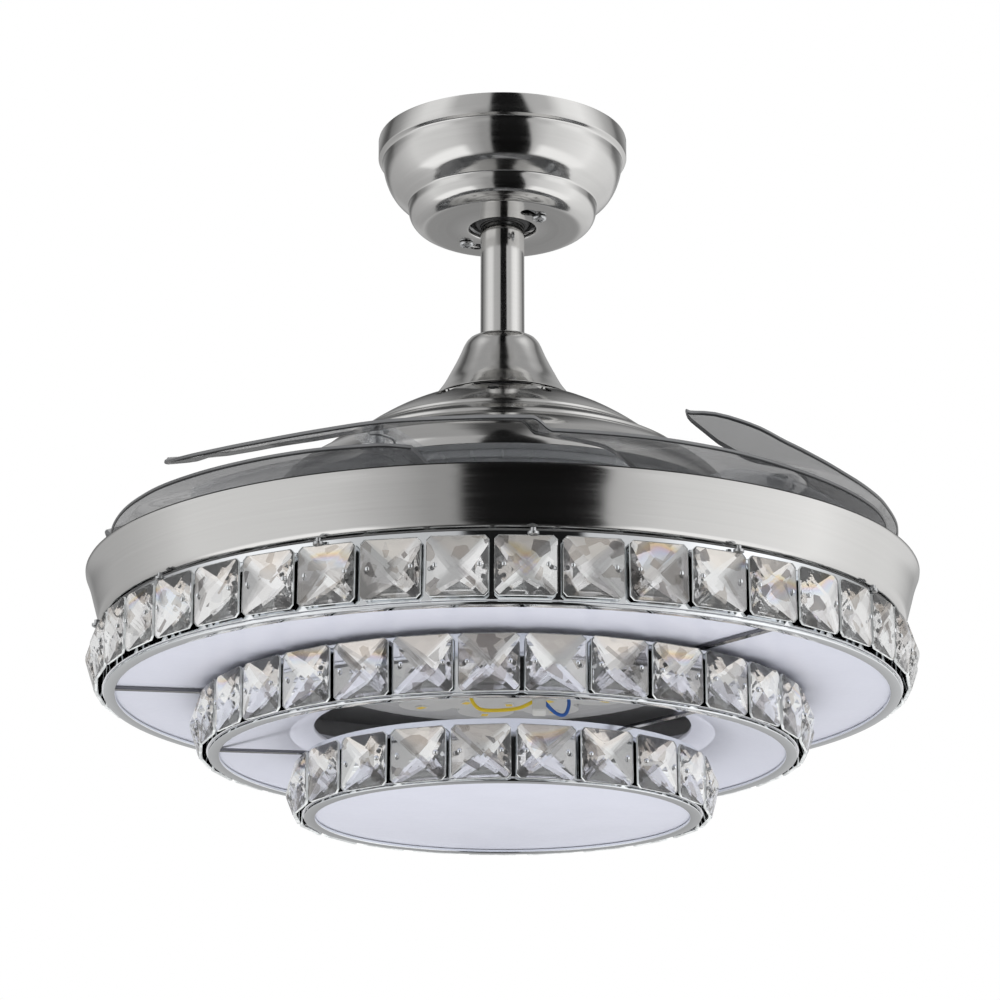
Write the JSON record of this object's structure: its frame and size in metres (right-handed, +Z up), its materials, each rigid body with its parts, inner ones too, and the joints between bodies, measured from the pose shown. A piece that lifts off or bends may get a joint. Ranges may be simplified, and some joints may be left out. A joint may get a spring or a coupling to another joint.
{
  "type": "ceiling fan with retractable blades and crystal light",
  "caption": "Ceiling fan on a short downrod: curved smoke blades fold under a brushed dome and over a stepped round light with tiers of cut crystals and opal discs.",
  "frame": {"origin": "middle of the ceiling face on top of the hanger bracket, on the fan's turning axis", "axes": "+Z up to the ceiling along the downrod and the rotor's axis, -Y to the front as pictured, +X to the right seen from the front"},
  "size_m": [0.49, 0.49, 0.424],
  "materials": {
    "brushed_nickel": "fine brushed nickel plate",
    "chrome": "mirror chrome plate",
    "zinc_steel": "bright zinc plate",
    "white_steel": "white stove enamel",
    "cast_alloy": "as cast",
    "black_rubber": "matt",
    "black_plastic": "satin",
    "white_plastic": "satin",
    "copper_wire": "enamelled copper wire",
    "laminations": "stacked electrical steel",
    "smoke_acrylic": "clear smoke tint, polished",
    "clear_plastic": "clear, polished",
    "crystal": "clear cut crystal, polished",
    "opal_acrylic": "opal, satin",
    "board_white": "white solder mask",
    "yellow_wire": "wire cover",
    "blue_wire": "wire cover"
  },
  "bodies": {
    "hanger": {"hanger_bracket": "zinc_steel", "canopy": "brushed_nickel", "canopy_screw_1": "zinc_steel", "canopy_screw_2": "zinc_steel"},
    "ball_seat": {"ball_seat_ring": "black_rubber"},
    "pendant": {"hanger_ball": "black_plastic", "hanger_pin": "zinc_steel", "downrod": "brushed_nickel", "coupling_cover": "brushed_nickel", "motor_yoke": "cast_alloy", "coupling_bolt": "zinc_steel", "motor_shaft": "zinc_steel", "stator_core": "laminations", "stator_winding": "copper_wire", "band_ring": "brushed_nickel", "light_pan": "white_steel", "shaft_nut": "zinc_steel", "chassis_plate": "chrome", "chassis_post_1": "zinc_steel", "chassis_post_2": "zinc_steel", "chassis_post_3": "zinc_steel", "led_driver": "white_plastic", "remote_receiver": "white_plastic", "tier_1_crystals": "crystal", "tier_2_crystals": "crystal", "tier_3_crystals": "crystal", "tier_1_rim": "chrome", "tier_2_rim": "chrome", "tier_3_rim": "chrome", "tier_1_diffuser": "opal_acrylic", "tier_2_diffuser": "opal_acrylic", "tier_3_diffuser": "opal_acrylic", "led_board_1": "board_white", "led_board_2": "board_white", "led_board_3": "board_white", "yellow_lead": "yellow_wire", "blue_lead": "blue_wire", "lead_connector": "white_plastic"},
    "rotor": {"upper_bearing": "zinc_steel", "lower_bearing": "zinc_steel", "rotor_top": "cast_alloy", "rotor_base": "cast_alloy", "motor_cover": "brushed_nickel", "blade_carrier": "clear_plastic", "blade_pivot_1": "zinc_steel", "blade_pivot_2": "zinc_steel", "blade_pivot_3": "zinc_steel", "blade_pivot_4": "zinc_steel", "blade_spring_1": "zinc_steel", "blade_spring_2": "zinc_steel", "blade_spring_3": "zinc_steel", "blade_spring_4": "zinc_steel"},
    "blade_arm_1": {"blade_1": "smoke_acrylic", "blade_bracket_1": "clear_plastic"},
    "blade_arm_2": {"blade_2": "smoke_acrylic", "blade_bracket_2": "clear_plastic"},
    "blade_arm_3": {"blade_3": "smoke_acrylic", "blade_bracket_3": "clear_plastic"},
    "blade_arm_4": {"blade_4": "smoke_acrylic", "blade_bracket_4": "clear_plastic"}
  },
  "joints": [
    {"name": "swing_sideways", "type": "hinge", "parent": "hanger", "child": "ball_seat", "pos_m": [0, 0, -0.04], "axis": [0, 1, 0], "range_deg": [-8, 8]},
    {"name": "swing_forwards", "type": "hinge", "parent": "ball_seat", "child": "pendant", "pos_m": [0, 0, -0.04], "axis": [1, 0, 0], "range_deg": [-8, 8]},
    {"name": "rotor_spin", "type": "hinge", "parent": "pendant", "child": "rotor", "pos_m": [0, 0, -0.2148], "axis": [0, 0, 1], "continuous": true},
    {"name": "blade_swing_1", "type": "hinge", "parent": "rotor", "child": "blade_arm_1", "pos_m": [0.15773, -0.06858, -0.262], "axis": [0, 0, 1], "range_deg": [0, 145], "stiffness_Nm_per_rad": 0.02, "springref_deg": -28.65},
    {"name": "blade_swing_2", "type": "hinge", "parent": "rotor", "child": "blade_arm_2", "pos_m": [0.06858, 0.15773, -0.262], "axis": [0, 0, 1], "range_deg": [0, 145], "stiffness_Nm_per_rad": 0.02, "springref_deg": -28.65},
    {"name": "blade_swing_3", "type": "hinge", "parent": "rotor", "child": "blade_arm_3", "pos_m": [-0.15773, 0.06858, -0.262], "axis": [0, 0, 1], "range_deg": [0, 145], "stiffness_Nm_per_rad": 0.02, "springref_deg": -28.65},
    {"name": "blade_swing_4", "type": "hinge", "parent": "rotor", "child": "blade_arm_4", "pos_m": [-0.06858, -0.15773, -0.262], "axis": [0, 0, 1], "range_deg": [0, 145], "stiffness_Nm_per_rad": 0.02, "springref_deg": -28.65}
  ],
  "couplings": [
    {"joint": "blade_swing_2", "follows": "blade_swing_1", "ratio": 1},
    {"joint": "blade_swing_3", "follows": "blade_swing_1", "ratio": 1},
    {"joint": "blade_swing_4", "follows": "blade_swing_1", "ratio": 1}
  ]
}
